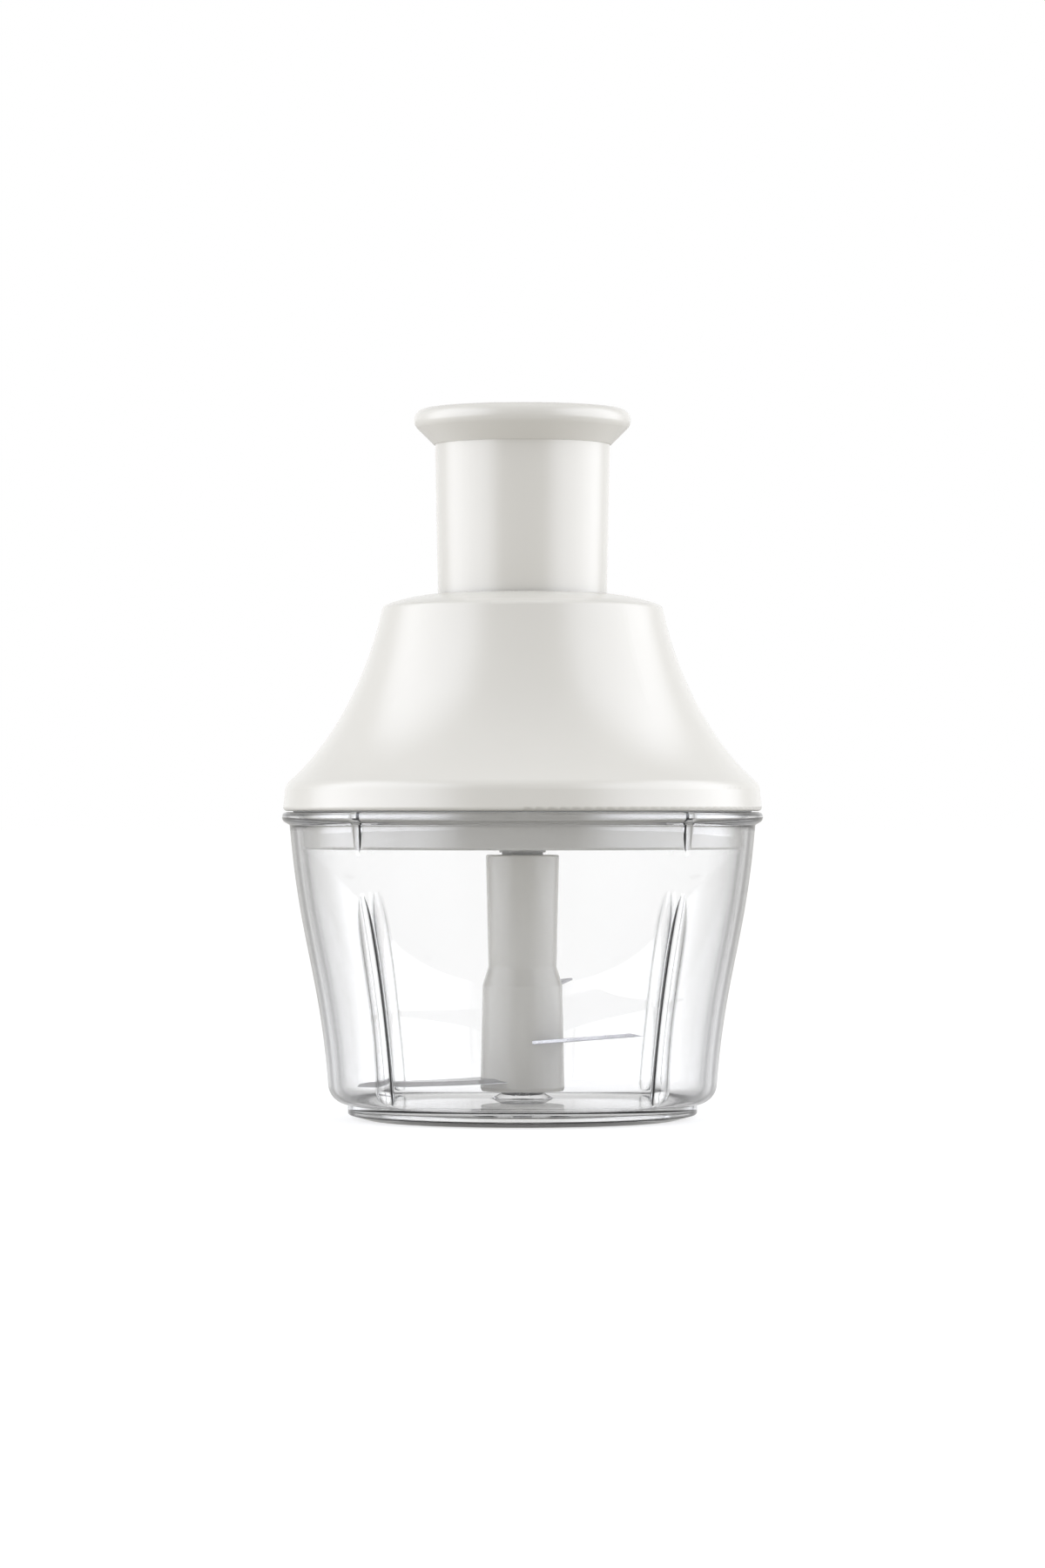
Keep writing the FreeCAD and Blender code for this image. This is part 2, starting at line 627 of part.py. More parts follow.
def return_spring():
    """Coil spring between the bearing carrier and the flange of the drive stem, with closed end coils."""
    bottom = CARRIER[1] + SPRING_WIRE / 2
    top = STEM_FLANGE[1] - SPRING_WIRE / 2
    turns = SPRING_TURNS + 2 * SPRING_END_TURNS
    end_rise = SPRING_END_TURNS * SPRING_END_PITCH
    count = round(turns * SPRING_STEPS)
    sections = []
    for n in range(count + 1):
        turn = turns * n / count
        share = min(max((turn - SPRING_END_TURNS) / SPRING_TURNS, 0), 1)
        end_turns = min(turn, SPRING_END_TURNS) + max(turn - SPRING_END_TURNS - SPRING_TURNS, 0)
        z = bottom + end_turns * SPRING_END_PITCH + share * (top - bottom - 2 * end_rise)
        sections.append(wire_section(360 * turn, z))
    return upright(Part.makeLoft(sections, True, True))


def wire_section(direction, z):
    """The spring wire's section, in the upright plane that passes through the axis in that direction."""
    across = polar(1, direction)
    centre = polar(SPRING_RADIUS, direction, z)
    corners = [lean(60 * k + 30, SPRING_WIRE / 2) for k in range(7)]
    return Part.makePolygon([centre + across * corner.x + V(0, 0, corner.z) for corner in corners])


# ---------------------------------------------------------------------------------------------------------
# Ratchet drive and drive screw
# ---------------------------------------------------------------------------------------------------------


def ratchet_opening(bottom, top):
    """The space inside the cup's saw teeth. Each tooth has its steep face towards the turning pawls."""
    pitch = 360 / TOOTH_COUNT
    points = []
    for n in range(TOOTH_COUNT):
        points.append(polar(TOOTH_TIP, n * pitch, bottom))
        points.append(polar(TOOTH_ROOT, (n + 1) * pitch, bottom))
    points.append(points[0])
    return Part.Face(Part.makePolygon(points)).extrude(V(0, 0, top - bottom))


def output_spindle():
    """The ratchet cup, the journal that runs in the lid plate and the hexagonal spigot below it."""
    cup = cylinder(CUP_RADIUS, CUP_BOTTOM, CUP_TOP).cut(ratchet_opening(CUP_FLOOR, CUP_TOP))
    journal = cylinder(JOURNAL_RADIUS, JOURNAL_BOTTOM, CUP_FLOOR - 0.5)
    lead_in = Outline(0, SPIGOT_BOTTOM).to(SPIGOT_FLATS / 2 - 1, SPIGOT_BOTTOM)
    lead_in.to(JOURNAL_RADIUS, SPIGOT_BOTTOM + 2.5).to(JOURNAL_RADIUS, CUP_FLOOR - 0.5).to(0, CUP_FLOOR - 0.5)
    spigot = hexagon(SPIGOT_FLATS, SPIGOT_BOTTOM, CUP_FLOOR - 0.5).common(lead_in.lathe())
    body = cup.fuse([journal, spigot])
    return upright(body.cut(cylinder(PILOT_BORE, PILOT_BORE_BOTTOM, CUP_TOP)))


def thrust_washer():
    return ring(*WASHER)


def pawl_arm(bottom, top):
    """A springy arm that trails round the hub and ends in a nose set deep in a tooth space, at angle 0."""
    half = PAWL_ARM_WIDTH / 2
    inner, outer = PAWL_ARM_RADIUS - half, PAWL_ARM_RADIUS + half
    sweep = PAWL_ARM_SWEEP
    steep = -math.degrees(PAWL_GAP / TOOTH_ROOT)
    ramp_per_degree = (TOOTH_ROOT - TOOTH_TIP) * TOOTH_COUNT / 360
    nose = 9.0
    tip = TOOTH_ROOT - PAWL_GAP + ramp_per_degree * steep
    heel = tip - ramp_per_degree * nose - 0.2

    def arc_between(radius, start, end):
        middle = (start + end) / 2
        return Part.Arc(polar(radius, start, bottom), polar(radius, middle, bottom), polar(radius, end, bottom))

    arm = [
        arc_between(inner, -sweep, steep),
        Part.LineSegment(polar(inner, steep, bottom), polar(tip, steep, bottom)),
        Part.LineSegment(polar(tip, steep, bottom), polar(heel, steep - nose, bottom)),
        Part.LineSegment(polar(heel, steep - nose, bottom), polar(outer, steep - 2 * nose, bottom)),
        arc_between(outer, steep - 2 * nose, -sweep),
        Part.LineSegment(polar(outer, -sweep, bottom), polar(inner, -sweep, bottom)),
    ]
    body = Part.Face(Part.Wire([edge.toShape() for edge in arm])).extrude(V(0, 0, top - bottom))
    root = turned(block(PAWL_HUB_RADIUS - 1.5, outer, 3.2, bottom, top), -sweep)
    return body.fuse(root)


def pawl_wheel():
    bottom, top = PAWL_WHEEL
    body = cylinder(PAWL_HUB_RADIUS, bottom, top).fuse(around(pawl_arm(bottom, top), THIRDS))
    return upright(body.cut(hexagon(SHANK_FLATS, bottom, top)))


def drive_screw():
    """The twisted square bar, its journal and collar, the hexagonal shank for the pawl wheel, and a pilot."""
    collar_radius, collar_bottom, collar_top = COLLAR
    outline = Outline(0, PILOT_BOTTOM).to(PILOT_RADIUS, PILOT_BOTTOM, 0.5).to(PILOT_RADIUS, collar_bottom)
    outline.to(collar_radius, collar_bottom).to(collar_radius, collar_top).to(SCREW_JOURNAL_RADIUS, collar_top)
    core = outline.to(SCREW_JOURNAL_RADIUS, SCREW_JOURNAL_TOP).to(0, SCREW_JOURNAL_TOP).lathe()
    shank = hexagon(SHANK_FLATS, SHANK_BOTTOM, collar_bottom + 0.2)
    bar = twisted_bar(SCREW_SIDE, SCREW_JOURNAL_TOP - 0.5, SCREW_TOP)
    return upright(core.fuse([shank, bar]))


# ---------------------------------------------------------------------------------------------------------
# Plunger
# ---------------------------------------------------------------------------------------------------------


def plunger_tube():
    """The sliding sleeve: a drafted tube with a keyed guide flange at its foot and a tenon that fits the cap."""
    head_radius, head = TUBE_HEAD
    tenon_radius, tenon_top = TUBE_TENON
    outline = Outline(TUBE_FOOT_RADIUS - TUBE_WALL, PLUNGER_FOOT).to(PLUNGER_FLANGE_RADIUS, PLUNGER_FOOT, 0.4)
    outline.to(PLUNGER_FLANGE_RADIUS, PLUNGER_FLANGE_TOP, 0.4).to(TUBE_FOOT_RADIUS, PLUNGER_FLANGE_TOP)
    outline.to(head_radius, head).to(tenon_radius, head).to(tenon_radius, tenon_top)
    body = outline.to(head_radius - TUBE_WALL, tenon_top).lathe()
    key = block(PLUNGER_FLANGE_RADIUS - 1, PLUNGER_KEY_RADIUS, PLUNGER_KEY_WIDTH, PLUNGER_FOOT, PLUNGER_FLANGE_TOP)
    return upright(body.fuse(around(key, THIRDS)))


def cap_rim(degrees):
    """A point on the cap's round rim, at that angle up from level."""
    angle = math.radians(degrees)
    return CAP_RADIUS - CAP_ROUND + CAP_ROUND * math.cos(angle), CAP_MIDDLE + CAP_ROUND * math.sin(angle)


def plunger_cap():
    """The palm cap: a low crown, a full round rim, and a conical skirt that sits on the tube's shoulder."""
    bore, skirt = TUBE_TENON[0], TUBE_HEAD[1]
    outline = Outline(0, CAP_CEILING).to(bore, CAP_CEILING, 0.8).to(bore, skirt).to(CAP_SKIRT_RADIUS, skirt)
    crown = cap_rim(85)
    outline.to(*cap_rim(CAP_UNDERCUT)).arc(cap_rim(0), crown)
    outline.bezier(V(crown[0] * 0.8, 0, CAP_TOP - 0.02), V(crown[0] * 0.4, 0, CAP_TOP), V(0, 0, CAP_TOP))
    boss = cylinder(2.9, STEM_FLANGE[2], CAP_CEILING + 0.5, STEM_SCREW_RING)
    pilot = cylinder(STEM_SCREW[0], STEM_FLANGE[2], STEM_FLANGE[1] + STEM_SCREW[1] + 0.2, STEM_SCREW_RING)
    return upright(outline.lathe().fuse(around(boss, THIRDS)).cut(around(pilot, THIRDS)))


def drive_stem():
    """The tube that hangs inside the plunger, clears the screw and carries the nut in a hexagonal cup."""
    flange_radius, flange_bottom, flange_top = STEM_FLANGE
    collar_radius, collar_bottom = STEM_COLLAR
    outline = Outline(STEM_BORE, NUT[0]).to(NUT_CUP_RADIUS, NUT[0], 0.3).to(NUT_CUP_RADIUS, NUT[1] + 1.2, 0.8)
    outline.to(STEM_RADIUS, NUT[1] + 3.0, 0.8).to(STEM_RADIUS, collar_bottom).to(collar_radius, collar_bottom + 1.2)
    outline.to(collar_radius, flange_bottom).to(flange_radius, flange_bottom).to(flange_radius, flange_top)
    body = outline.to(STEM_BORE, flange_top).lathe()
    hole = cylinder(STEM_SCREW[0] + 0.15, flange_bottom, flange_top, STEM_SCREW_RING)
    tapping = cylinder(RETAINER_SCREW[0], NUT[0], NUT[0] + RETAINER_SCREW[1], RETAINER_SCREW_RING)
    cuts = [hexagon(NUT_FLATS, NUT[0], NUT[1])] + around(hole, THIRDS) + around(tapping, [30, 150, 270])
    return upright(body.cut(cuts))


def stem_screws():
    return Part.makeCompound(around(screw(STEM_SCREW, STEM_SCREW_RING, STEM_FLANGE[1]), THIRDS))


def drive_nut():
    """A hexagonal nut whose square opening has the screw's own twist."""
    opening = twisted_bar(SCREW_SIDE + 2 * NUT_CLEARANCE, NUT[0] - 1, NUT[1] + 1)
    return upright(hexagon(NUT_FLATS, NUT[0], NUT[1]).cut(opening))


def retainer_screw_height():
    return PLUNGER_FOOT + RETAINER_SCREW[3]


def nut_retainer():
    body = ring(RETAINER_BORE, NUT_CUP_RADIUS, PLUNGER_FOOT, NUT[0])
    hole = cylinder(RETAINER_SCREW[0] + 0.1, PLUNGER_FOOT, NUT[0], RETAINER_SCREW_RING)
    sink = cylinder(RETAINER_SCREW[2] + 0.1, PLUNGER_FOOT, retainer_screw_height(), RETAINER_SCREW_RING)
    return upright(body.cut(around(hole.fuse(sink), [30, 150, 270])))


def retainer_screws():
    return Part.makeCompound(around(screw(RETAINER_SCREW, RETAINER_SCREW_RING, retainer_screw_height()), [30, 150, 270]))


# ---------------------------------------------------------------------------------------------------------
# Build
# ---------------------------------------------------------------------------------------------------------


def build():
    blades = {name: blade(name) for name in BLADES}
    nodes = {
        "bowl": bowl(),
        "pivot_pin": pivot_pin(),
        "blade_shaft": blade_shaft(blades.values()),
        "blade_bush": blade_bush(),
        **blades,
        "lid_shell": lid_shell(),
        "lid_plate": lid_plate(),
        "lid_gasket": lid_gasket(),
        "plate_screws": plate_screws(),
        "bearing_carrier": bearing_carrier(),
        "carrier_screws": carrier_screws(),
        "screw_bush": screw_bush(),
        "spindle_bush": spindle_bush(),
        "return_spring": return_spring(),
        "output_spindle": output_spindle(),
        "thrust_washer": thrust_washer(),
        "pawl_wheel": pawl_wheel(),
        "drive_screw": drive_screw(),
        "plunger_tube": plunger_tube(),
        "plunger_cap": plunger_cap(),
        "drive_stem": drive_stem(),
        "stem_screws": stem_screws(),
        "drive_nut": drive_nut(),
        "nut_retainer": nut_retainer(),
        "retainer_screws": retainer_screws(),
    }
    os.makedirs("parts", exist_ok=True)
    for name, shape in nodes.items():
        shape.exportStep(f"parts/{name}.step")
        print(f"{name:18s} solids {len(shape.Solids)}  faces {len(shape.Faces):3d}  volume {shape.Volume:10.1f}")


build()
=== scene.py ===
import math

import bpy
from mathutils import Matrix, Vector

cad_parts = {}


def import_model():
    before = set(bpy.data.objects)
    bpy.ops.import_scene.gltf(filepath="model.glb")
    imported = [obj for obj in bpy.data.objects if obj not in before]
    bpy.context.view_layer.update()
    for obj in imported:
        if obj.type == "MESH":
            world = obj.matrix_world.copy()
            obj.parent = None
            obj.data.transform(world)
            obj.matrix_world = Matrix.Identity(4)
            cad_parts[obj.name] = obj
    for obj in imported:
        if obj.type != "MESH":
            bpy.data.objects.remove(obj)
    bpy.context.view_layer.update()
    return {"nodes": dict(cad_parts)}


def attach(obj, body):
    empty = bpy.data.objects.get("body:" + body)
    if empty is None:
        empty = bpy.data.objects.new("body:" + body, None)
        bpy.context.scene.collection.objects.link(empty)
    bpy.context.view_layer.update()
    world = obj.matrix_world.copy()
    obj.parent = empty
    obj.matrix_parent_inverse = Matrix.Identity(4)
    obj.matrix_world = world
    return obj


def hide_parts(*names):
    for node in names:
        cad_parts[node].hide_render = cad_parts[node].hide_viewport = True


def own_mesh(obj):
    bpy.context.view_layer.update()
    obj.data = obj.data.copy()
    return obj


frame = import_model()

MM = 0.001


# ---------------------------------------------------------------------------------------------------------
# Nodes
# ---------------------------------------------------------------------------------------------------------


def add_node(tree, kind, links=(), **settings):
    """A new node. links gives its inputs, by name or number, a value or another node's output."""
    made = tree.nodes.new(kind)
    for name, value in settings.items():
        setattr(made, name, value)
    for socket, value in dict(links).items():
        if isinstance(value, bpy.types.NodeSocket):
            tree.links.new(value, made.inputs[socket])
        else:
            made.inputs[socket].default_value = value
    return made


def maths(tree, operation, *values):
    return add_node(tree, "ShaderNodeMath", enumerate(values), operation=operation).outputs[0]


def smooth_step(tree, value, start, end, low=0.0, high=1.0):
    """Runs softly from low to high while the value runs from start to end."""
    links = {"Value": value, "From Min": start, "From Max": end, "To Min": low, "To Max": high}
    return add_node(tree, "ShaderNodeMapRange", links, interpolation_type="SMOOTHSTEP").outputs[0]


# ---------------------------------------------------------------------------------------------------------
# Materials
# ---------------------------------------------------------------------------------------------------------


class Shader:
    """A material with one Principled shader and short calls for the nodes round it.

    Noise scales are in cells per metre."""

    def __init__(self, name, **values):
        self.material = bpy.data.materials.new(name)
        self.material.use_nodes = True
        self.tree = self.material.node_tree
        self.surface = self.tree.nodes["Principled BSDF"]
        for socket, value in values.items():
            self.surface.inputs[socket.replace("_", " ")].default_value = value
        self.place = self.node("ShaderNodeTexCoord").outputs["Object"]
        self.normal = None

    def node(self, kind, links=(), **settings):
        return add_node(self.tree, kind, links, **settings)

    def maths(self, operation, *values):
        return maths(self.tree, operation, *values)

    def stretched(self, scale, turn=0.0):
        links = {"Vector": self.place, "Scale": scale, "Rotation": (0, 0, turn)}
        return self.node("ShaderNodeMapping", links).outputs[0]

    def noise(self, scale, detail=2.0, rough=0.5, place=None):
        links = {"Vector": place or self.place, "Scale": scale, "Detail": detail, "Roughness": rough}
        return self.node("ShaderNodeTexNoise", links).outputs["Fac"]

    def spread(self, value, low, high, start=0.3, end=0.7):
        links = {"Value": value, "From Min": start, "From Max": end, "To Min": low, "To Max": high}
        return self.node("ShaderNodeMapRange", links).outputs[0]

    def mix(self, share, first, second):
        """A colour between two colours or sockets."""
        made = self.node("ShaderNodeMix", {0: share}, data_type="RGBA")
        for socket, colour in ((6, first), (7, second)):
            if isinstance(colour, bpy.types.NodeSocket):
                self.tree.links.new(colour, made.inputs[socket])
            else:
                made.inputs[socket].default_value = (*colour, 1)
        return made.outputs[2]

    def set(self, socket, value):
        self.tree.links.new(value, self.surface.inputs[socket])

    def bump(self, height, distance):
        links = {"Height": height, "Distance": distance}
        if self.normal:
            links["Normal"] = self.normal
        self.normal = self.node("ShaderNodeBump", links).outputs[0]
        self.set("Normal", self.normal)


def grey(value):
    return (value, value, value)


# Noise scales of clouds, handling marks, ripples and skin, and the heights of the last two in metres
PLASTIC_CLOUDS, PLASTIC_MARKS = 28, 240
PLASTIC_RIPPLES, RIPPLE_HEIGHT = 38, 0.00004
PLASTIC_SKIN, SKIN_HEIGHT = 2600, 0.0000015


def moulded(name, colour, shade, roughness, **values):
    """Injection-moulded plastic: slow ripples from shrinkage, a fine skin and faint handling marks."""
    s = Shader(name, **values)
    s.set("Base Color", s.mix(s.spread(s.noise(PLASTIC_CLOUDS, 3), 0, 1), colour, shade))
    s.set("Roughness", s.spread(s.noise(PLASTIC_MARKS, 5, 0.6), *roughness))
    s.bump(s.noise(PLASTIC_RIPPLES, 1.5), RIPPLE_HEIGHT)
    s.bump(s.noise(PLASTIC_SKIN, 2), SKIN_HEIGHT)
    return s.material


# Clearness of the bowl's plastic as it is seen, from where one looks at it face on (0) to edge on (1).
# Faint grey face on, then painted shade: dark grey bands painted where one looks along the walls
CLEARNESS_AND_PAINTED_SHADE = [
    (0.0, 0.982),
    (0.13, 0.975),
    (0.31, 0.965),
    (0.40, 0.95),
    (0.46, 0.915),
    (0.52, 0.845),
    (0.60, 0.71),
    (0.70, 0.56),
    (0.745, 0.42),
    (0.775, 0.14),
    (0.81, 0.14),
    (0.85, 0.40),
    (1.0, 0.48),
]
RIB_EDGE_PAINTED_SHADE = 0.2  # painted shade: the clearness painted into each rib's rounded edge
LIT_TINT = 0.99  # clearness for the light that reaches other surfaces
CLEAR_COLOUR, CLEAR_DENSITY = (0.62, 0.62, 0.61), 20.0  # of the plastic inside its walls, per metre
CLEAR_MARKS, CLEAR_ROUGHNESS = 90, (0.0, 0.02)
CLEAR_RIPPLES, CLEAR_RIPPLE_HEIGHT = 30, 0.00003


def clear_plastic():
    """Clear SAN, with grey painted shade where one looks along its walls and in each rib's rounded edge."""
    s = Shader("clear_san", Transmission_Weight=1.0, IOR=1.57)
    # painted shade: this ramp greys the plastic as it turns edge on, for dark bands along the walls
    painted_shade_ramp = s.node("ShaderNodeValToRGB", {"Fac": s.node("ShaderNodeLayerWeight").outputs["Facing"]})
    ramp = painted_shade_ramp.color_ramp.elements
    for place, _ in CLEARNESS_AND_PAINTED_SHADE[1:-1]:
        ramp.new(place)
    for stop, (place, clearness) in zip(ramp, CLEARNESS_AND_PAINTED_SHADE):
        stop.position, stop.color = place, (*grey(clearness), 1)
    # painted shade: grey painted into each rib's rounded edge, where the plastic has no grey of its own
    edge = s.node("ShaderNodeAttribute", attribute_name="rib_edge_painted_shade").outputs["Fac"]
    seen = s.mix(edge, painted_shade_ramp.outputs["Color"], grey(RIB_EDGE_PAINTED_SHADE))
    lighting = s.maths("GREATER_THAN", s.node("ShaderNodeLightPath").outputs["Diffuse Depth"], 0.5)
    s.set("Base Color", s.mix(lighting, seen, grey(LIT_TINT)))
    s.set("Roughness", s.spread(s.noise(CLEAR_MARKS, 5, 0.6), *CLEAR_ROUGHNESS))
    s.bump(s.noise(CLEAR_RIPPLES, 1), CLEAR_RIPPLE_HEIGHT)
    links = {"Color": (*CLEAR_COLOUR, 1), "Density": CLEAR_DENSITY}
    absorb = s.node("ShaderNodeVolumeAbsorption", links)
    s.tree.links.new(absorb.outputs[0], s.tree.nodes["Material Output"].inputs["Volume"])
    return s.material


METAL_CLOUDS, METAL_MARKS, METAL_LINES = 300, 1200, 900
METAL_STRETCH = (1, 1, 6)
METAL_LINE_HEIGHT = 0.000004


def turned_metal(name, colour, shade, roughness):
    """Metal from the lathe, with fine lines round its axis."""
    s = Shader(name, Metallic=1.0)
    s.set("Base Color", s.mix(s.spread(s.noise(METAL_CLOUDS, 3), 0, 1), colour, shade))
    s.set("Roughness", s.spread(s.noise(METAL_MARKS, 4, 0.6), *roughness))
    s.bump(s.noise(METAL_LINES, 3, place=s.stretched(METAL_STRETCH)), METAL_LINE_HEIGHT)
    return s.material


BLADE_CLOUDS = 110
BLADE_COLOUR, BLADE_SHADE = (0.46, 0.46, 0.475), (0.38, 0.38, 0.395)
# Lines per metre along the blade, across it and up, then roughness and height of the lines in metres
SHEET = (60, 2600, 400), (0.16, 0.30), 0.000006
GROUND = (3000, 160, 400), (0.10, 0.22), 0.000009


def blade_steel(name, degrees, scale, roughness, height):
    """Stainless sheet whose fine lines follow a blade that points that many degrees round."""
    s = Shader(name, Metallic=1.0, Anisotropic=0.4)
    lines = s.stretched(scale, -math.radians(degrees))
    s.set("Base Color", s.mix(s.spread(s.noise(BLADE_CLOUDS, 3), 0, 1), BLADE_COLOUR, BLADE_SHADE))
    s.set("Roughness", s.spread(s.noise(1.0, 4, 0.6, lines), *roughness))
    s.bump(s.noise(1.0, 3, 0.6, lines), height)
    return s.material


WARM_WHITE, WARM_SHADE = (0.602, 0.584, 0.532), (0.584, 0.566, 0.514)
WHITE = moulded("white_abs", WARM_WHITE, WARM_SHADE, (0.15, 0.23), IOR=1.54)
NATURAL = moulded("natural_acetal", (0.70, 0.69, 0.65), (0.64, 0.63, 0.59), (0.30, 0.42), IOR=1.48)
GLOSS = {"IOR": 1.54, "Coat_Weight": 1.0, "Coat_Roughness": 0.05}
POLISHED = moulded("polished_abs", WARM_WHITE, WARM_SHADE, (0.10, 0.16), **GLOSS)
RUBBER = moulded("soft_silicone", (0.50, 0.50, 0.49), (0.44, 0.44, 0.43), (0.45, 0.6), IOR=1.42)
CLEAR = clear_plastic()
STEEL = turned_metal("bright_steel_turned", (0.56, 0.56, 0.57), (0.50, 0.50, 0.51), (0.18, 0.32))
BRONZE = turned_metal("bronze_turned", (0.62, 0.42, 0.20), (0.52, 0.34, 0.16), (0.25, 0.4))

FINISHES = {
    "clear_plastic": CLEAR,
    "white_plastic": WHITE,
    "natural_plastic": NATURAL,
    "soft_rubber": RUBBER,
    "bright_steel": STEEL,
    "bronze": BRONZE,
    "blade_steel": STEEL,
}
for name, node in frame["nodes"].items():
    for slot in node.material_slots:
        slot.material = POLISHED if name == "lid_plate" else FINISHES[slot.material.name]


# ---------------------------------------------------------------------------------------------------------
# Lines and meshes, in millimetres
# ---------------------------------------------------------------------------------------------------------


def evenly(last, count):
    """Values from 0 to last in that many even steps."""
    return [last * n / count for n in range(count + 1)]


def turned(x, y, angle):
    return x * math.cos(angle) - y * math.sin(angle), x * math.sin(angle) + y * math.cos(angle)


def line(a, b, step):
    """Points from a to b, about a step apart."""
    count = max(1, round(math.dist(a, b) / step))
    return [(a[0] + (b[0] - a[0]) * n / count, a[1] + (b[1] - a[1]) * n / count) for n in range(count)] + [b]


def arc(centre, radius, start, end, step=5.0):
    """Points on an arc, at most a step of degrees apart."""
    count = max(2, math.ceil(abs(end - start) / step))
    angles = [math.radians(start + off) for off in evenly(end - start, count)]
    return [(centre[0] + radius * math.cos(a), centre[1] + radius * math.sin(a)) for a in angles]


def arc_through(points, count):
    """Points on the circle's arc through three points, evenly apart."""
    (ax, ay), (bx, by), (cx, cy) = points
    d = 2 * (ax * (by - cy) + bx * (cy - ay) + cx * (ay - by))
    a2, b2, c2 = ax * ax + ay * ay, bx * bx + by * by, cx * cx + cy * cy
    ux = (a2 * (by - cy) + b2 * (cy - ay) + c2 * (ay - by)) / d
    uy = (a2 * (cx - bx) + b2 * (ax - cx) + c2 * (bx - ax)) / d
    start, end = math.atan2(ay - uy, ax - ux), math.atan2(cy - uy, cx - ux)
    turn = (end - start + math.pi) % (2 * math.pi) - math.pi
    radius = math.hypot(ax - ux, ay - uy)
    angles = [start + off for off in evenly(turn, count)]
    return [(ux + radius * math.cos(a), uy + radius * math.sin(a)) for a in angles]


def bezier(poles, count):
    points = []
    for t in evenly(1, count):
        u = 1 - t
        weights = (u * u * u, 3 * u * u * t, 3 * u * t * t, t * t * t)
        points.append(tuple(sum(w * p[k] for w, p in zip(weights, poles)) for k in (0, 1)))
    return points


def rounded(points, count):
    """A line of (r, z) or (r, z, corner radius) points, with its corners rounded in that many steps."""
    made = []
    last = len(points) - 1
    for n, point in enumerate(points):
        if n in (0, last) or len(point) == 2:
            made.append(tuple(point[:2]))
            continue
        here, radius = Vector(point[:2]), point[2]
        back = (Vector(points[n - 1][:2]) - here).normalized()
        on = (Vector(points[n + 1][:2]) - here).normalized()
        half = back.angle(on) / 2
        centre = here + (back + on).normalized() * radius / math.sin(half)
        first = here + back * radius / math.tan(half) - centre
        turn = first.angle_signed(here + on * radius / math.tan(half) - centre)
        for angle in evenly(-turn, count):
            x, y = turned(*first, angle)
            made.append((centre.x + x, centre.y + y))
    return made


def skin(sections, count, flipped=False):
    """Faces between sections of count points each, and one face over each end."""
    faces = []
    for start in range(0, (sections - 1) * count, count):
        for k in range(start, start + count):
            after = start + (k + 1 - start) % count
            beyond, past = k + count, after + count
            faces.append((k, beyond, past, after) if flipped else (k, after, past, beyond))
    first, last = range(count), range((sections - 1) * count, sections * count)
    if flipped:
        first, last = last, first
    return faces + [tuple(reversed(first)), tuple(last)]


def piece(name, body, vertices, faces, material, node, sharp=40):
    """A mesh object that rides on a body and stands for a CAD node. Edges of more than sharp degrees show."""
    mesh = bpy.data.meshes.new(name)
    mesh.from_pydata([(x * MM, y * MM, z * MM) for x, y, z in vertices], [], faces)
    mesh.materials.append(material)
    mesh.validate()
    mesh.polygons.foreach_set("use_smooth", [True] * len(mesh.polygons))
    mesh.set_sharp_from_angle(angle=math.radians(sharp))
    made = bpy.data.objects.new(name, mesh)
    bpy.context.scene.collection.objects.link(made)
    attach(made, body)
    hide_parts(node)
    return made


# ---------------------------------------------------------------------------------------------------------
# Bowl
# ---------------------------------------------------------------------------------------------------------

# Points of the outline are (radius, height). The wall's curve leans out by these degrees at its ends
BOWL_WALL = 2.25
WALL_FOOT, WALL_HEAD = (50.25, 8.95), (60.07, 75.2)
WALL_FOOT_LEAN, WALL_HEAD_LEAN = 4.1, 4.7
WALL_FOOT_REACH, WALL_HEAD_REACH = 28.25, 29.4
OUTER_CORNER, INNER_CORNER = 5.4, 4.2
FOOT_RADIUS, FOOT_BEVEL, FOOT_HEIGHT = 45.1, 1.35, 2.5
FOOT_FLAT = (37.4, 40.2)  # inner and outer radius of the flat that stands on the table
LIP_ROOT = (60.15, 75.9)
LIP_RADIUS, LIP_UNDER, LIP_TOP = 62.1, 77.0, 79.2
BOSS_FOOT_RADIUS, BOSS_TOP_RADIUS, BOSS_TOP = 8.2, 5.4, 7.3
BOSS_MARGIN = 1.4  # the floor's even rows end that far from the boss
PIN_RADIUS, PIN_SEAT = 2.54, 4.3
AXIS_GAP = 0.4  # the rows stop there, and a flat face closes them

KEY_RADIUS, KEY_CENTRE, KEY_FOOT, KEY_FILLET = 3.0, 60.2, 60.0, 0.3
RIB_RADIUS, RIB_FLATNESS = 4.0, 2.3
RIB_CREST = [(56.9, 62.0), (52.6, 48.0), (48.9, 30.0), (46.2, 3.0)]
ROOT_FILLET, ROOT_SHARE = 1.2, 0.5  # the fillet's radius, and its greatest share of a low rib
PAINTED_SHADE_RISE = 0.8  # painted shade: ribs are painted grey at their edge from this height on
PAINTED_SHADE_INWARD, PAINTED_SHADE_OUTWARD = 1.6, 1.2  # how far the painted grey shade reaches to both sides of the fillet's start

OUTER_ROWS, INNER_ROWS = 48, 110
CREST_STEPS, CORNER_STEPS, LIP_CORNER_STEPS = 200, 5, 6
UPRIGHT_STEP, FLOOR_STEP = 0.6, 4.0
KEY_DIRECTIONS = (45, 135, 225, 315)  # degrees; a rib stands under each key
ROUND_POINTS, ROOT_POINTS = 14, 6
LEAST_HALF = 1.0  # the points beside a key or rib reach at least that far aside
PLAIN_HALF = 1.4  # and that far where there is neither
PLAIN_REACH = math.radians(3.0)  # and over that angle on the outside and the floor
# Shares of the way from beside one key or rib to halfway to the next
FAR = [0.01, 0.025, 0.05, 0.08, 0.12, 0.17, 0.23, 0.3, 0.38, 0.47, 0.57, 0.68, 0.79, 0.9, 1.0]


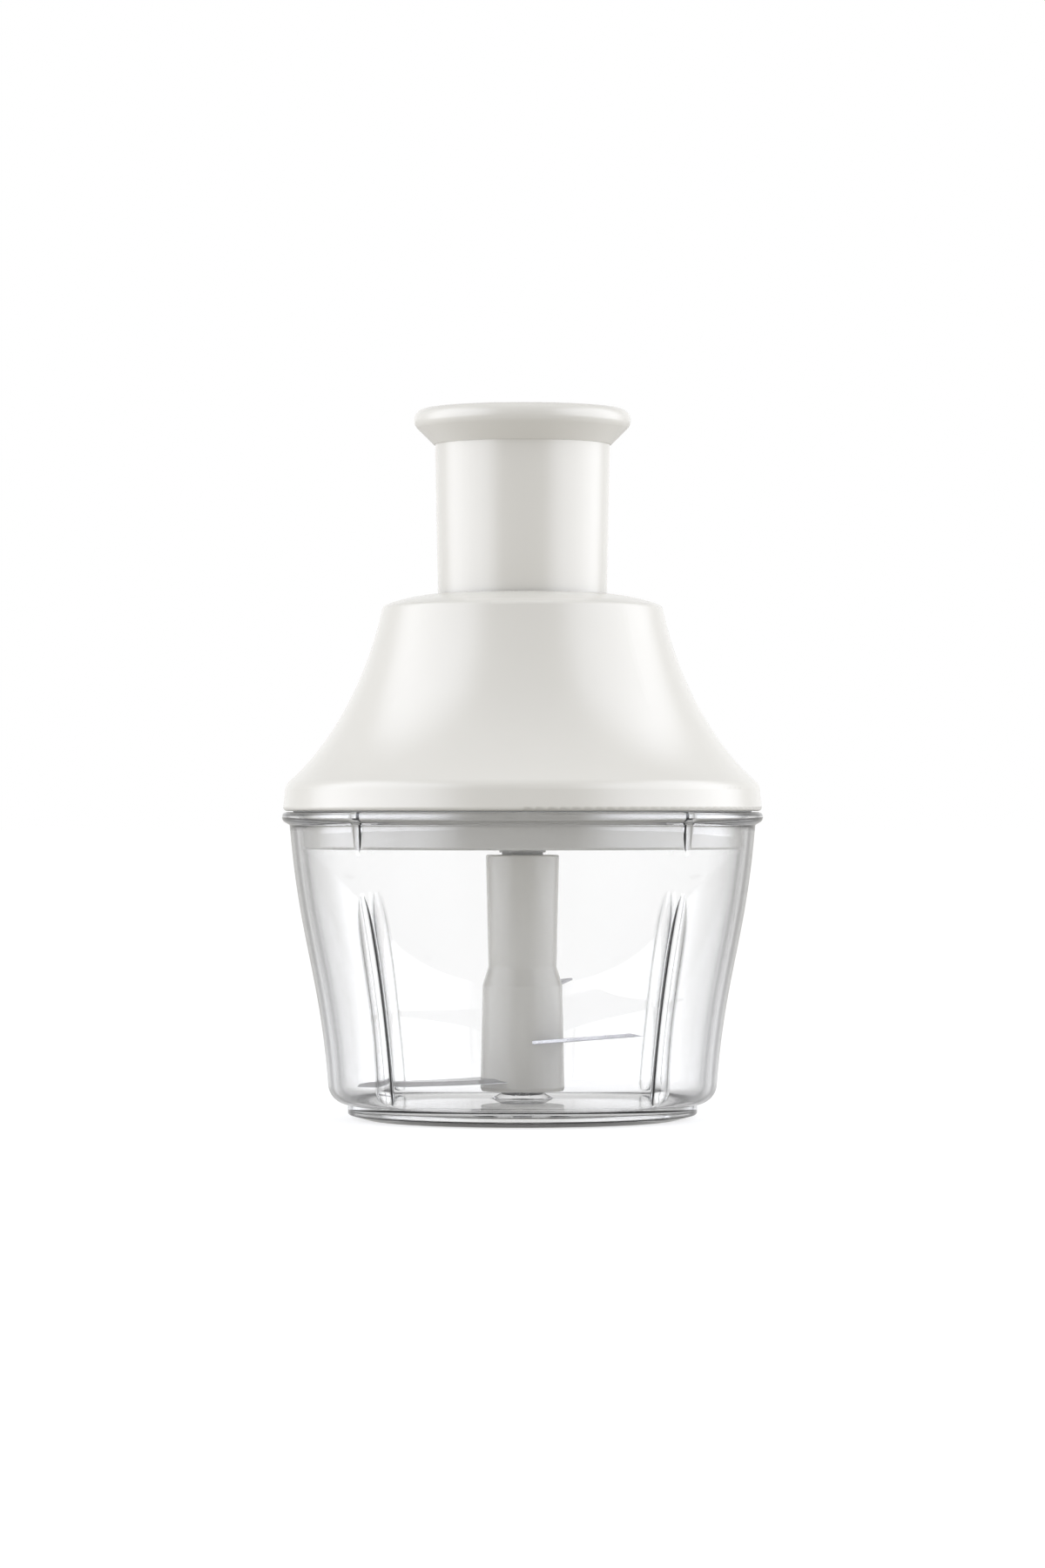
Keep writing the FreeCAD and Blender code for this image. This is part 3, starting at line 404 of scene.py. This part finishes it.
def wall_line(inset):
    """The poles of the curve up the wall, that far inside its outer face."""
    foot = (WALL_FOOT[0] - inset, WALL_FOOT[1])
    head = (WALL_HEAD[0] - inset, WALL_HEAD[1])
    a, b = math.radians(WALL_FOOT_LEAN), math.radians(WALL_HEAD_LEAN)
    return [
        foot,
        (foot[0] + WALL_FOOT_REACH * math.sin(a), foot[1] + WALL_FOOT_REACH * math.cos(a)),
        (head[0] - WALL_HEAD_REACH * math.sin(b), head[1] - WALL_HEAD_REACH * math.cos(b)),
        head,
    ]


def corner_centre(foot, radius):
    """The centre of the arc that runs on into the wall at its foot."""
    a = math.radians(WALL_FOOT_LEAN)
    return foot[0] - radius * math.cos(a), foot[1] + radius * math.sin(a)


def bowl_outside():
    """(radius, height) points from the axis over the foot ring and up to the lip's inner edge."""
    centre = corner_centre(WALL_FOOT, OUTER_CORNER)
    meets = math.degrees(math.acos((FOOT_RADIUS - centre[0]) / OUTER_CORNER))
    corner = arc(centre, OUTER_CORNER, -meets, -WALL_FOOT_LEAN)
    foot = [
        (AXIS_GAP, FOOT_HEIGHT),
        (FOOT_FLAT[0], FOOT_HEIGHT, 0.3),
        (FOOT_FLAT[0], 0, 0.6),
        (FOOT_FLAT[1], 0, 1.0),
        (FOOT_RADIUS, FOOT_BEVEL, 0.7),
        (FOOT_RADIUS, corner[0][1]),
    ]
    wall = bezier(wall_line(0), OUTER_ROWS)[1:]
    inner_radius, inner_head = wall_line(BOWL_WALL)[-1]
    lip = [
        wall[-1],
        (*LIP_ROOT, 0.4),
        (LIP_RADIUS, LIP_UNDER, 1.5),
        (LIP_RADIUS, LIP_TOP, 1.0),
        (inner_radius, LIP_TOP, 0.6),
        (inner_radius, inner_head),
    ]
    return rounded(foot, CORNER_STEPS) + corner + wall + rounded(lip, LIP_CORNER_STEPS)[1:-1]


def bowl_inside(start):
    """Points from the lip's inner edge down the wall and round the corner to the floor."""
    poles = wall_line(BOWL_WALL)
    upright = line(start, poles[-1], UPRIGHT_STEP)[1:]
    wall = bezier(poles, INNER_ROWS)[-2::-1]
    centre = corner_centre(poles[0], INNER_CORNER)
    return upright + wall + arc(centre, INNER_CORNER, -90, -WALL_FOOT_LEAN)[-2::-1]


def bowl_floor(start):
    """Points from the corner over the floor and its boss, into the pin's hole and to the axis."""
    floor = start[1]
    boss = [
        start,
        (BOSS_FOOT_RADIUS, floor, 1.2),
        (BOSS_TOP_RADIUS, BOSS_TOP, 0.5),
        (PIN_RADIUS, BOSS_TOP),
        (PIN_RADIUS, PIN_SEAT),
        (AXIS_GAP, PIN_SEAT),
    ]
    beside_boss = (BOSS_FOOT_RADIUS + BOSS_MARGIN, floor)
    return line(start, beside_boss, FLOOR_STEP)[1:] + rounded(boss, CORNER_STEPS)[1:]


CREST = bezier(RIB_CREST, CREST_STEPS)


def rib_rise(wall, z):
    """How far the rib's crest stands inside a wall of that radius, at that height."""
    for (r0, z0), (r1, z1) in zip(CREST, CREST[1:]):
        if z1 <= z <= z0:
            return max(0.0, wall - (r0 + (r1 - r0) * (z0 - z) / (z0 - z1)))
    return 0.0


def key_rise(wall, z):
    """The same for the key, which is a half-round in the rim."""
    return max(0.0, wall - (KEY_CENTRE - KEY_RADIUS)) if z > KEY_FOOT else 0.0


def rib_round(rise, fillet):
    """Half of a rib's section, from its crest to where its fillet starts, as (aside, inward) points."""
    half = RIB_RADIUS * math.sqrt(1 - max(0.0, 1 - rise / RIB_RADIUS) ** 2)
    power = 2 / RIB_FLATNESS
    angles = evenly(math.acos(min(1.0, (fillet / rise) ** (1 / power))), ROUND_POINTS)
    return [(half * math.sin(t) ** power, rise * math.cos(t) ** power) for t in angles]


def key_round(rise):
    """Half of a key's section."""
    angles = evenly(math.acos(1 - rise / KEY_RADIUS), ROUND_POINTS)
    return [(KEY_RADIUS * math.sin(t), KEY_RADIUS * (math.cos(t) - 1) + rise) for t in angles]


def bump_section(wall, z):
    """Half of the key's or rib's section at that height, with its fillet and the wall beside it."""
    rise = rib_rise(wall, z)
    if rise > 0:
        fillet = min(ROOT_FILLET, ROOT_SHARE * rise)
        points = rib_round(rise, fillet)
    else:
        fillet = KEY_FILLET
        points = key_round(key_rise(wall, z))
    edge, foot = points[-1]
    spread = max(fillet, LEAST_HALF - edge)
    for t in evenly(math.pi / 2, ROOT_POINTS)[1:]:
        points.append((edge + spread * (1 - math.cos(t)), foot * (1 - math.sin(t))))
    if edge < LEAST_HALF / 2:  # no bump, or its first trace: the columns are spread evenly
        share = edge / (LEAST_HALF / 2)
        even = evenly(PLAIN_HALF, len(points) - 1)
        points = [(aside * share + e * (1 - share), inward) for (aside, inward), e in zip(points, even)]
    return points


def quarter_row(near, r):
    """A quarter of a row as (angle from its key, radius) points, from those on one side of the key."""
    reach = near[-1][0]
    half = near + [(reach + (math.pi / 4 - reach) * share, r) for share in FAR]
    return [(-off, radius) for off, radius in reversed(half[1:-1])] + half


def whole_row(quarter, z):
    """The points of one row, at the same angles round each key."""
    middles = [math.radians(degrees) for degrees in KEY_DIRECTIONS]
    places = [(middle + off, radius) for middle in middles for off, radius in quarter]
    return [(radius * math.cos(angle), radius * math.sin(angle), z) for angle, radius in places]


def plain_row(r, z):
    """A row without keys and ribs. None of its points gets the painted shade of a rib's edge."""
    near = [(angle, r) for angle in evenly(PLAIN_REACH, ROUND_POINTS + ROOT_POINTS)]
    ring = whole_row(quarter_row(near, r), z)
    return ring, [0.0] * len(ring)


def painted_shade_share(beyond):
    """How much painted shade a point gets in a rib's edge, by its distance aside of the fillet's start."""
    return max(0.0, 1.0 - abs(beyond) / (PAINTED_SHADE_OUTWARD if beyond > 0 else PAINTED_SHADE_INWARD))


def ribbed_row(r, z):
    """A row inside the wall, and how much painted shade each of its points gets in a rib's rounded edge."""
    section = bump_section(r, z)
    near = []
    for aside, inward in section:
        ahead = math.sqrt(r * r - aside * aside) - inward
        near.append((math.atan2(aside, ahead), math.hypot(aside, ahead)))
    quarter = quarter_row(near, r)
    start = section[ROUND_POINTS][0]
    # how much grey shade is painted into each point of a rib's edge, rising with the rib's height
    height = min(1.0, rib_rise(r, z) / PAINTED_SHADE_RISE)
    shares = [height * painted_shade_share(radius * math.sin(abs(off)) - start) for off, radius in quarter]
    return whole_row(quarter, z), shares * len(KEY_DIRECTIONS)


def bowl():
    """Rows of points from the axis up the outside, over the lip and down the inside to the axis."""
    outside = bowl_outside()
    inside = bowl_inside(outside[-1])
    rows = [plain_row(r, z) for r, z in outside]
    rows += [ribbed_row(r, z) for r, z in inside]
    rows += [plain_row(r, z) for r, z in bowl_floor(inside[-1])]
    vertices = [point for ring, shares in rows for point in ring]
    painted_shades = [share for ring, shares in rows for share in shares]
    faces = skin(len(rows), len(rows[0][0]))
    made = piece("clear_bowl", "bowl", vertices, faces, CLEAR, "bowl")
    # painted shade: each point keeps how much grey is painted into it
    made.data.attributes.new("rib_edge_painted_shade", "FLOAT", "POINT").data.foreach_set("value", painted_shades)


bowl()


# ---------------------------------------------------------------------------------------------------------
# Blades
# ---------------------------------------------------------------------------------------------------------

BLADE_THICKNESS, BLADE_BEVEL, BLADE_EDGE = 1.0, 3.4, 0.12
BLADE_BACK_ROUND = 0.16
BACK_ANGLES = (0.5, 1.05, 1.57)  # radians round the back's roundings
TOP_SHARES = (0.03, 0.5, 1.0)  # of the flat top, from the bevel to the back
BLADE_TANG, BLADE_BEND = 6.4, 10.0  # distances from the axis to the blade's root and to its bend
BLADE_LEAD = [(9.0, 7.6), (27.0, 5.6), (42.4, -8.4)]
BLADE_BACK = [(9.0, -7.0), (26.0, -5.9), (41.2, -9.9)]
BLADE_STEPS, TANG_STEP = 40, 1.3
BLADE_SHARP = 12
BEVEL_LIMIT = 0.86  # the bevel's greatest share of the blade's width
BEVEL_SIDES = (1, 2)  # the ground ones among the sides of a section
# Height of the root, and the degrees by which the blade climbs after its bend and points round the axis
BLADES = {"lower_blade": (10.3, -1.5, 205), "middle_blade": (20.4, 5.0, 325), "upper_blade": (29.8, 10.0, 85)}


def blade_section(lead, back):
    """A ring of points round the blade: the cutting edge, the ground bevel, the top and the rounded back."""
    low = -BLADE_THICKNESS / 2
    width = math.dist(lead, back)
    bevel = min(BLADE_BEVEL, width * BEVEL_LIMIT)
    edge = low + BLADE_EDGE
    top = edge + (BLADE_THICKNESS - BLADE_EDGE) / BLADE_BEVEL * bevel
    soft = BLADE_BACK_ROUND
    ring = [(0.0, low), (0.0, edge), (bevel * 0.5, (top + edge) / 2), (bevel, top)]
    middle = width - soft
    ring += [(bevel + (middle - bevel) * share, top) for share in TOP_SHARES]
    ring += [(middle + soft * math.sin(a), top - soft + soft * math.cos(a)) for a in BACK_ANGLES]
    ring += [(middle + soft * math.cos(a), low + soft - soft * math.sin(a)) for a in (0.0, *BACK_ANGLES)]
    ring += [(width * 0.5, low)]
    u = ((back[0] - lead[0]) / width, (back[1] - lead[1]) / width)
    return [(lead[0] + u[0] * across, lead[1] + u[1] * across, z) for across, z in ring]


def blade_side(points):
    """A blade's front or back line, from its tang out to its tip."""
    return line((BLADE_TANG, points[0][1]), points[0], TANG_STEP)[:-1] + arc_through(points, BLADE_STEPS)


def blade(name):
    height, climb, degrees = BLADES[name]
    sections = [blade_section(*ends) for ends in zip(blade_side(BLADE_LEAD), blade_side(BLADE_BACK))]
    count = len(sections[0])
    vertices = []
    for x, y, z in (point for section in sections for point in section):
        beyond, up = turned(x - BLADE_BEND, z, math.radians(climb))
        vertices.append((*turned(BLADE_BEND + beyond, y, math.radians(degrees)), up + height))
    label = name.split("_")[0]
    sheet = blade_steel("stainless_sheet_" + label, degrees, *SHEET)
    ground = blade_steel("stainless_ground_" + label, degrees, *GROUND)
    faces = skin(len(sections), count, flipped=True)
    made = piece(name.replace("_", "-"), "blades", vertices, faces, sheet, name, BLADE_SHARP)
    made.data.materials.append(ground)
    for n, face in enumerate(made.data.polygons[:-2]):
        if n % count in BEVEL_SIDES:
            face.material_index = 1


for name in BLADES:
    blade(name)


# ---------------------------------------------------------------------------------------------------------
# Return spring
# ---------------------------------------------------------------------------------------------------------

SPRING_WIRE, SPRING_RADIUS = 0.75, 14.0  # radius of the wire and of the coil
SPRING_TURNS, SPRING_END_TURNS = 8, 0.75
SPRING_END_PITCH = 1.6
SPRING_FOOT, SPRING_HEAD = 85.2, 176.4
SPRING_STEPS, SPRING_SIDES = 36, 12


def return_spring():
    """Round wire with closed end coils. Pressed, it is 55.2 of its 91.2 millimetres long."""
    bottom, top = SPRING_FOOT + SPRING_WIRE, SPRING_HEAD - SPRING_WIRE
    open_rise = top - bottom - 2 * SPRING_END_TURNS * SPRING_END_PITCH
    turns = SPRING_TURNS + 2 * SPRING_END_TURNS
    count = round(turns * SPRING_STEPS)
    vertices = []
    for turn in evenly(turns, count):
        share = min(max((turn - SPRING_END_TURNS) / SPRING_TURNS, 0), 1)
        closed = min(turn, SPRING_END_TURNS) + max(turn - SPRING_END_TURNS - SPRING_TURNS, 0)
        z = bottom + closed * SPRING_END_PITCH + share * open_rise
        for k in range(SPRING_SIDES):
            out, up = turned(SPRING_WIRE, 0, 2 * math.pi * k / SPRING_SIDES)
            vertices.append((*turned(SPRING_RADIUS + out, 0, 2 * math.pi * turn), z + up))
    faces = skin(count + 1, SPRING_SIDES)
    made = piece("coil_spring", "lid", vertices, faces, STEEL, "return_spring")
    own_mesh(made)


return_spring()


# ---------------------------------------------------------------------------------------------------------
# Camera, lamps, world and floor, in metres. Radiances: 1 is white
# ---------------------------------------------------------------------------------------------------------

CAMERA_PLACE, CAMERA_PITCH = (0, -1.395, 0.0795), 90.286
CAMERA_LENS = 124.0
SENSOR_WIDTH, SENSOR_HEIGHT = 24.0, 36.0

# Azimuth in degrees, distance, width and radiance. Azimuth 0 is the camera's side, positive to the right
SOFTBOXES = {"softbox_left": (-75, 0.70, 1.70, 2.92), "softbox_right": (80, 0.68, 1.86, 2.82)}
SOFTBOX_HEIGHT = 1.30
SOFTBOX_COLOUR = (0.975, 1.0, 1.085)
SIDE_FADE = (0.14, 0.5)  # a softbox fades between these shares of its width, from its middle
TOP_FADE = (0.5, 1.0)  # and between these shares of its height, from its foot

OVERHEAD = 1.05  # radiance of the sky straight above
# The white behind the object fades to the sides, and for glass also upwards. Each fade runs between two
# values of the direction's Y or Z and ends at the radiance beside it
GLASS_FADE, GLASS_RADIANCE = (0.55, 0.95), 0.80
MIRROR_FADE, MIRROR_RADIANCE = (0.70, 0.98), 0.6
UPPER_FADE, UPPER_RADIANCE = (0.06, 0.26), 0.35

PAPER = 0.34  # reflectance near the object
PAPER_GLOW = 0.70  # and the share of its own glow there
PAPER_FADE = (0.12, 0.55)  # distances between which the paper runs out into the white
BOUNCE_GLOW, BOUNCE_COLOUR = 0.52, (1.0, 0.965, 0.90)  # its glow on matt surfaces
FLOOR_HALF, FLOOR_DROP = 20, 0.00005


def camera():
    data = bpy.data.cameras.new("camera")
    data.sensor_fit = "VERTICAL"
    data.sensor_height = SENSOR_HEIGHT
    data.sensor_width = SENSOR_WIDTH
    data.lens = CAMERA_LENS
    data.clip_start = 0.05
    data.clip_end = 50
    made = bpy.data.objects.new("camera", data)
    made.location = CAMERA_PLACE
    made.rotation_euler = (math.radians(CAMERA_PITCH), 0, 0)
    bpy.context.scene.collection.objects.link(made)
    bpy.context.scene.camera = made


def softbox(name, azimuth, distance, width, radiance):
    """A tall softbox that stands on the floor. It fades to both sides and to the top."""
    data = bpy.data.lights.new(name, "AREA")
    data.shape = "RECTANGLE"
    data.size = width
    data.size_y = SOFTBOX_HEIGHT
    data.energy = radiance * math.pi * width * SOFTBOX_HEIGHT
    data.color = SOFTBOX_COLOUR
    data.use_nodes = True
    tree = data.node_tree
    place = add_node(tree, "ShaderNodeSeparateXYZ", {0: add_node(tree, "ShaderNodeTexCoord").outputs["UV"]})
    aside = maths(tree, "ABSOLUTE", maths(tree, "SUBTRACT", place.outputs["X"], 0.5))
    sides = smooth_step(tree, aside, *SIDE_FADE, 1.0, 0.0)
    top = smooth_step(tree, place.outputs["Y"], *TOP_FADE, 1.0, 0.0)
    tree.links.new(maths(tree, "MULTIPLY", sides, top), tree.nodes["Emission"].inputs["Strength"])
    made = bpy.data.objects.new(name, data)
    angle = math.radians(azimuth)
    middle = Vector((distance * math.sin(angle), -distance * math.cos(angle), SOFTBOX_HEIGHT / 2))
    made.location = middle
    made.rotation_euler = Vector((-middle.x, -middle.y, 0)).to_track_quat("-Z", "Y").to_euler()
    made.visible_camera = False
    bpy.context.scene.collection.objects.link(made)


def world():
    """White for the camera, for glass and for mirrors, and a light from above on matt surfaces."""
    made = bpy.data.worlds.new("studio")
    made.use_nodes = True
    tree = made.node_tree
    tree.nodes.clear()
    path = add_node(tree, "ShaderNodeLightPath").outputs
    links = {0: add_node(tree, "ShaderNodeTexCoord").outputs["Generated"]}
    direction = add_node(tree, "ShaderNodeSeparateXYZ", links).outputs

    def both(first, second):
        return maths(tree, "MULTIPLY", first, second)

    upper = smooth_step(tree, direction["Z"], *UPPER_FADE, 1.0, UPPER_RADIANCE)
    behind = both(smooth_step(tree, direction["Y"], *GLASS_FADE, GLASS_RADIANCE), upper)
    through = both(path["Is Transmission Ray"], behind)
    behind = smooth_step(tree, direction["Y"], *MIRROR_FADE, MIRROR_RADIANCE)
    mirrored = both(path["Is Glossy Ray"], behind)
    seen = maths(tree, "MAXIMUM", path["Is Camera Ray"], maths(tree, "MAXIMUM", through, mirrored))
    shown = both(seen, maths(tree, "LESS_THAN", path["Diffuse Depth"], 0.5))
    above = maths(tree, "MAXIMUM", direction["Z"], 0.0)
    strength = maths(tree, "MAXIMUM", shown, both(OVERHEAD, both(above, above)))
    background = add_node(tree, "ShaderNodeBackground", {"Color": (1, 1, 1, 1), "Strength": strength})
    add_node(tree, "ShaderNodeOutputWorld", {"Surface": background.outputs[0]})
    bpy.context.scene.world = made


def floor():
    """Matt white paper that takes the object's shadow near by and runs out into the white background."""
    s = Shader("pale_floor", Roughness=0.9)
    apart = s.node("ShaderNodeVectorMath", {0: s.place}, operation="LENGTH").outputs["Value"]
    far = smooth_step(s.tree, apart, *PAPER_FADE)
    s.set("Base Color", s.mix(far, grey(PAPER), grey(0.0)))
    path = s.node("ShaderNodeLightPath").outputs
    seen = s.maths("MAXIMUM", path["Is Camera Ray"], path["Is Transmission Ray"])
    seen = s.maths("MAXIMUM", seen, s.maths("MULTIPLY", path["Is Glossy Ray"], MIRROR_RADIANCE))
    s.set("Emission Color", s.mix(seen, BOUNCE_COLOUR, grey(1.0)))
    glow = s.spread(far, PAPER_GLOW, 1.0, 0.0, 1.0)
    s.set("Emission Strength", s.maths("MULTIPLY", s.maths("MAXIMUM", seen, BOUNCE_GLOW), glow))
    mesh = bpy.data.meshes.new("floor")
    corners = [(x * FLOOR_HALF, y * FLOOR_HALF, 0) for x, y in ((-1, -1), (1, -1), (1, 1), (-1, 1))]
    mesh.from_pydata(corners, [], [(0, 1, 2, 3)])
    mesh.materials.append(s.material)
    made = bpy.data.objects.new("floor", mesh)
    made.location = (0, 0, -FLOOR_DROP)
    bpy.context.scene.collection.objects.link(made)


camera()
for name, place in SOFTBOXES.items():
    softbox(name, *place)
world()
floor()
bpy.context.scene.view_settings.view_transform = "Standard"
